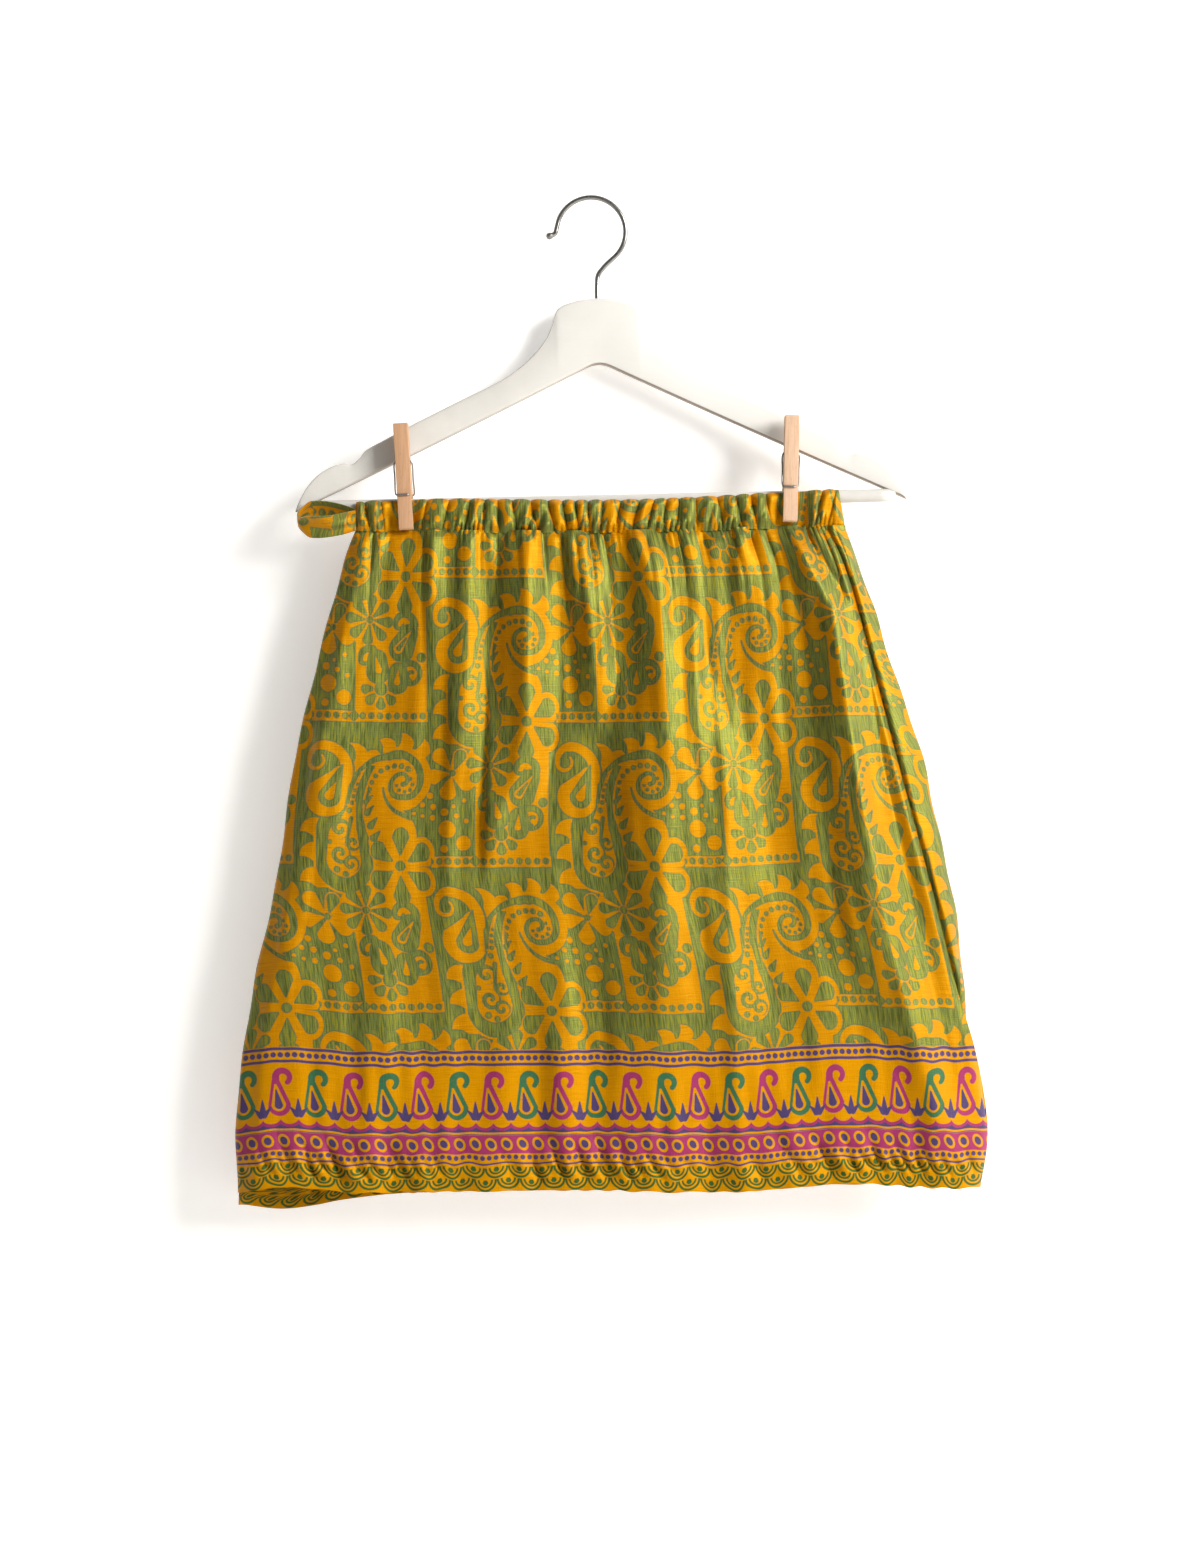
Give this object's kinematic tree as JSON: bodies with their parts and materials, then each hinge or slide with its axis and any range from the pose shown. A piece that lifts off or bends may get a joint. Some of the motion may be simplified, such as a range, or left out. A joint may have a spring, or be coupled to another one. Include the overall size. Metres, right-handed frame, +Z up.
{
  "type": "wrap skirt on a clothes hanger",
  "caption": "Short gathered wrap skirt with a lapped side edge and a tie loop, held by wooden pegs to the bar of a plain wooden hanger with a steel hook.",
  "frame": {"origin": "the highest point inside the hook, where a rail or nail carries the hanger and the skirt", "axes": "+X to the right as the skirt is seen from its front, +Y towards the wall behind it, +Z up"},
  "size_m": [0.5497, 0.0652, 0.7505],
  "materials": {
    "printed_silk": "light silk with a satin sheen, printed in yellow and green with a purple and magenta border",
    "white_paint": "white painted wood, satin",
    "hook_steel": "bright plated steel wire",
    "peg_wood": "bare light wood, sanded",
    "spring_steel": "drawn steel wire"
  },
  "bodies": {
    "root": {"front_panel": "printed_silk", "back_panel": "printed_silk", "waistband_front": "printed_silk", "waistband_back": "printed_silk", "tie_loop": "printed_silk", "hanger_wood": "white_paint", "hanger_bar": "white_paint", "hook": "hook_steel", "peg_left_front_leg": "peg_wood", "peg_left_back_leg": "peg_wood", "peg_left_spring": "spring_steel", "peg_right_front_leg": "peg_wood", "peg_right_back_leg": "peg_wood", "peg_right_spring": "spring_steel"}
  },
  "joints": []
}
